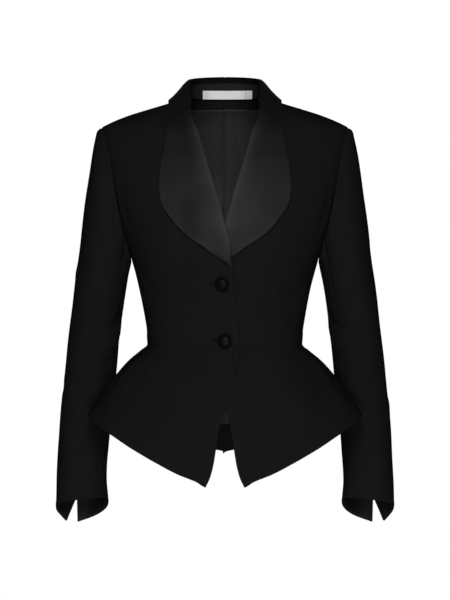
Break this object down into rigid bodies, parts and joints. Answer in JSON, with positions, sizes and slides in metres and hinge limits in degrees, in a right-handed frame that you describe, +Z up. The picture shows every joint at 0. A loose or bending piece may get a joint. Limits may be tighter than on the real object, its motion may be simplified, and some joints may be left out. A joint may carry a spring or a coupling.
{
  "type": "peplum jacket",
  "caption": "Fitted dinner jacket with satin shawl collar and lapels, covered buttons, princess seams, a flared peplum that dips to points in front, and long two-piece sleeves with cuff slits.",
  "frame": {"origin": "middle of the neck opening, level with the shoulder line where the collar leaves it", "axes": "+Z up from the hem to the collar, the front faces -Y, the wearer's left is +X"},
  "size_m": [0.5442, 0.2927, 0.715],
  "materials": {
    "crepe": "matte black crepe",
    "satin": "black satin, soft sheen",
    "lining": "black satin lining, soft sheen",
    "woven_tape": "white woven tape, matte"
  },
  "bodies": {
    "root": {"front_left": "crepe", "front_right": "crepe", "side_front_left": "crepe", "side_front_right": "crepe", "side_back_left": "crepe", "side_back_right": "crepe", "back_left": "crepe", "back_right": "crepe", "sleeve_upper_left": "crepe", "sleeve_upper_right": "crepe", "sleeve_under_left": "crepe", "sleeve_under_right": "crepe", "back_neck_facing": "crepe", "collar_stand": "crepe", "shawl_collar_left": "satin", "shawl_collar_right": "satin", "button_upper": "satin", "button_lower": "satin", "back_lining_left": "lining", "back_lining_right": "lining", "cuff_lining_left": "lining", "cuff_lining_right": "lining", "label": "woven_tape", "size_tab": "woven_tape"}
  },
  "joints": []
}
